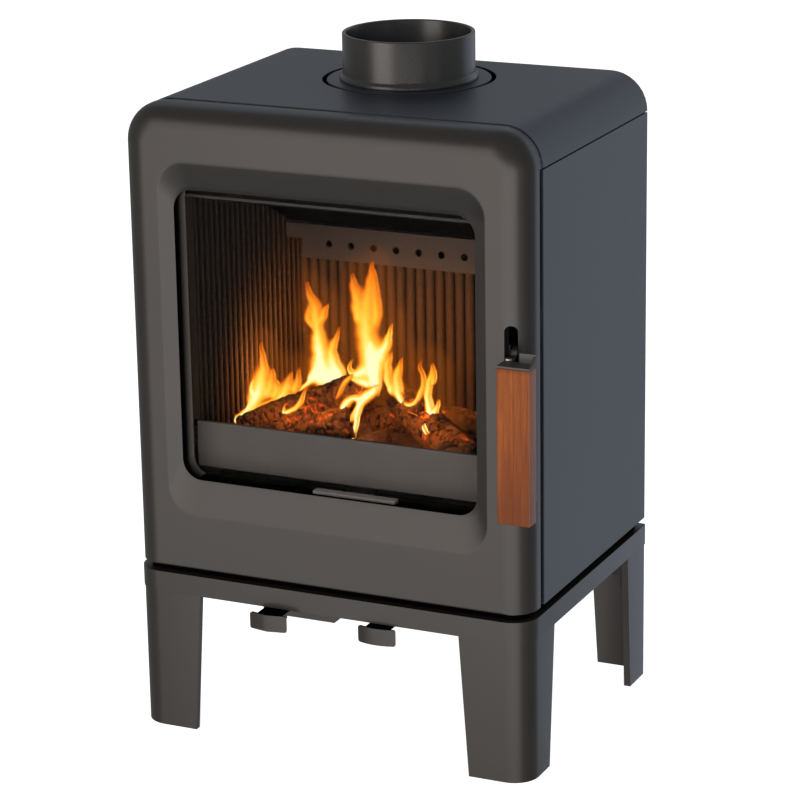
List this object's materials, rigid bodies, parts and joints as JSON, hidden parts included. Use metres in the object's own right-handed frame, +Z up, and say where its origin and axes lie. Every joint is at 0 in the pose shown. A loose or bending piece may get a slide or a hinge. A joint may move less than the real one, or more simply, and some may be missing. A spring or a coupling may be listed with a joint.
{
  "type": "wood stove",
  "caption": "Upright cast iron wood stove on four legs, with a rounded glass-fronted door, wood-gripped latch handle, air sliders under the body and a round flue collar on top.",
  "frame": {"origin": "middle of the bounding box's footprint, on the floor under the four legs", "axes": "+Z up, +X to the right of someone facing the door, -Y towards that person"},
  "size_m": [0.501, 0.3874, 0.782],
  "materials": {
    "painted_cast_iron": "matte",
    "painted_sheet": "matte",
    "black_steel": "matte",
    "firebox_lining": "matte",
    "grate_iron": "matte",
    "bright_steel": "satin",
    "oiled_wood": "satin",
    "clear_glass": "gloss",
    "rope_seal": "matte",
    "charred_wood": "matte"
  },
  "bodies": {
    "stove_body": {"base_frame": "painted_cast_iron", "plinth_spacer": "black_steel", "leg_front_left": "painted_cast_iron", "leg_front_right": "painted_cast_iron", "leg_rear_left": "painted_cast_iron", "leg_rear_right": "painted_cast_iron", "leg_bolt_front_left": "bright_steel", "leg_bolt_front_right": "bright_steel", "leg_bolt_rear_left": "bright_steel", "leg_bolt_rear_right": "bright_steel", "base_plate": "black_steel", "side_panel_left": "painted_sheet", "side_panel_right": "painted_sheet", "rear_panel": "painted_sheet", "top_panel": "painted_sheet", "front_plate": "black_steel", "latch_keeper": "bright_steel", "firebox_shell": "black_steel", "lining_left": "firebox_lining", "lining_right": "firebox_lining", "lining_rear": "firebox_lining", "air_bar": "black_steel", "baffle_plate": "firebox_lining", "baffle_rod": "grate_iron", "airwash_deflector": "black_steel", "log_guard": "grate_iron", "hearth_plate": "firebox_lining", "ash_pan": "black_steel", "log_back": "charred_wood", "log_left": "charred_wood", "log_right": "charred_wood", "flue_collar": "painted_cast_iron", "flue_disc": "painted_sheet", "air_box_left": "painted_cast_iron", "air_box_right": "painted_cast_iron", "hinge_bracket_lower": "black_steel", "hinge_bracket_upper": "black_steel", "hinge_pin_lower": "bright_steel", "hinge_pin_upper": "bright_steel"},
    "door": {"door_casting": "painted_cast_iron", "door_glass": "clear_glass", "glass_seal": "rope_seal", "glass_retainer": "black_steel", "retainer_screw_left_low": "bright_steel", "retainer_screw_left_high": "bright_steel", "retainer_screw_right_low": "bright_steel", "retainer_screw_right_high": "bright_steel", "door_rope_seal": "rope_seal", "handle_pivot": "bright_steel"},
    "handle": {"handle_lever": "black_steel", "handle_bracket": "black_steel", "handle_grip": "oiled_wood", "handle_screw_top": "bright_steel", "grip_screw_low": "bright_steel", "grip_screw_high": "bright_steel"},
    "grate": {"grate": "grate_iron", "grate_lever": "grate_iron"},
    "air_left": {"air_slider_left": "painted_cast_iron"},
    "air_right": {"air_slider_right": "painted_cast_iron"}
  },
  "joints": [
    {"name": "door_hinge", "type": "hinge", "parent": "stove_body", "child": "door", "pos_m": [-0.2355, -0.14675, 0.457], "axis": [0, 0, -1], "range_deg": [0, 100]},
    {"name": "handle_turn", "type": "hinge", "parent": "door", "child": "handle", "pos_m": [0.2168, -0.14675, 0.489], "axis": [-1, 0, 0], "range_deg": [0, 35]},
    {"name": "grate_slide", "type": "slide", "parent": "stove_body", "child": "grate", "axis": [1, 0, 0], "range_m": [-0.01, 0.01]},
    {"name": "air_left_slide", "type": "slide", "parent": "stove_body", "child": "air_left", "axis": [0, -1, 0], "range_m": [-0.008, 0.022]},
    {"name": "air_right_slide", "type": "slide", "parent": "stove_body", "child": "air_right", "axis": [0, -1, 0], "range_m": [0, 0.03]}
  ]
}
